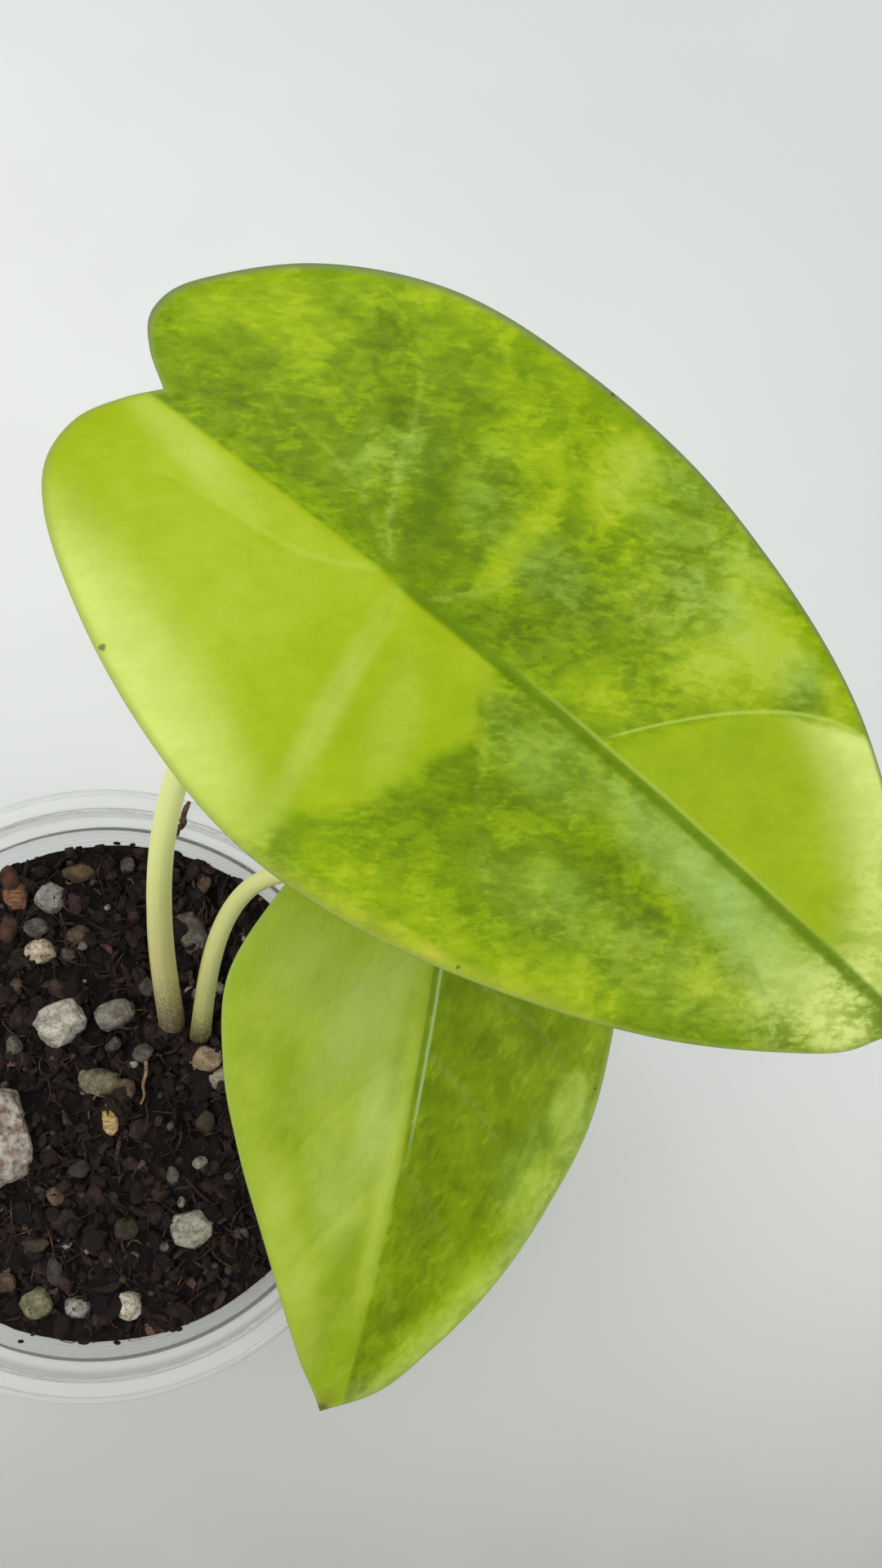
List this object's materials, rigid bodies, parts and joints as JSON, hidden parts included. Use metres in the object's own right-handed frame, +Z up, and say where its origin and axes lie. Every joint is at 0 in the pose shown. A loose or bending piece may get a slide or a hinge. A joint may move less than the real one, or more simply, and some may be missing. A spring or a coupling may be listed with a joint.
{
  "type": "potted alocasia longiloba",
  "caption": "Young potted aroid with a large and a small peltate leaf, mottled lime and green, on arched stalks in a clear tapered cup of potting mix.",
  "frame": {"origin": "centre of the cup's flat base, where the cup rests", "axes": "+Z up along the cup's axis; +Y away from the viewer of the picture; +X to the viewer's right, the side that both leaves lean to"},
  "size_m": [0.1524, 0.1327, 0.1901],
  "materials": {
    "clear_plastic": "clear, slightly milky, glossy",
    "mix": "loose dark peat and bark fibre, matte",
    "corm": "rough brown skin, pale roots",
    "stalk": "smooth pale yellow-green, pinkish brown at the foot",
    "blade": "leathery satin, lime and mottled green",
    "pumice": "rough, pitted, grey to beige",
    "perlite": "rough, chalky white",
    "bark": "rough, tan to orange-brown"
  },
  "bodies": {
    "root": {"cup": "clear_plastic", "potting_mix": "mix", "corm": "corm", "pumice_boulder": "pumice", "perlite_block": "perlite", "pumice_shard": "pumice", "perlite_left": "perlite", "perlite_back": "perlite", "bark_chip_back": "bark", "pumice_mottled": "pumice", "bark_sliver": "bark", "bark_chip_stalk": "bark", "pumice_side": "pumice", "perlite_front": "perlite", "pumice_front": "pumice", "perlite_rim": "perlite", "perlite_corner": "perlite", "stalk_large": "stalk", "stalk_small": "stalk", "blade_large": "blade", "blade_small": "blade"}
  },
  "joints": []
}
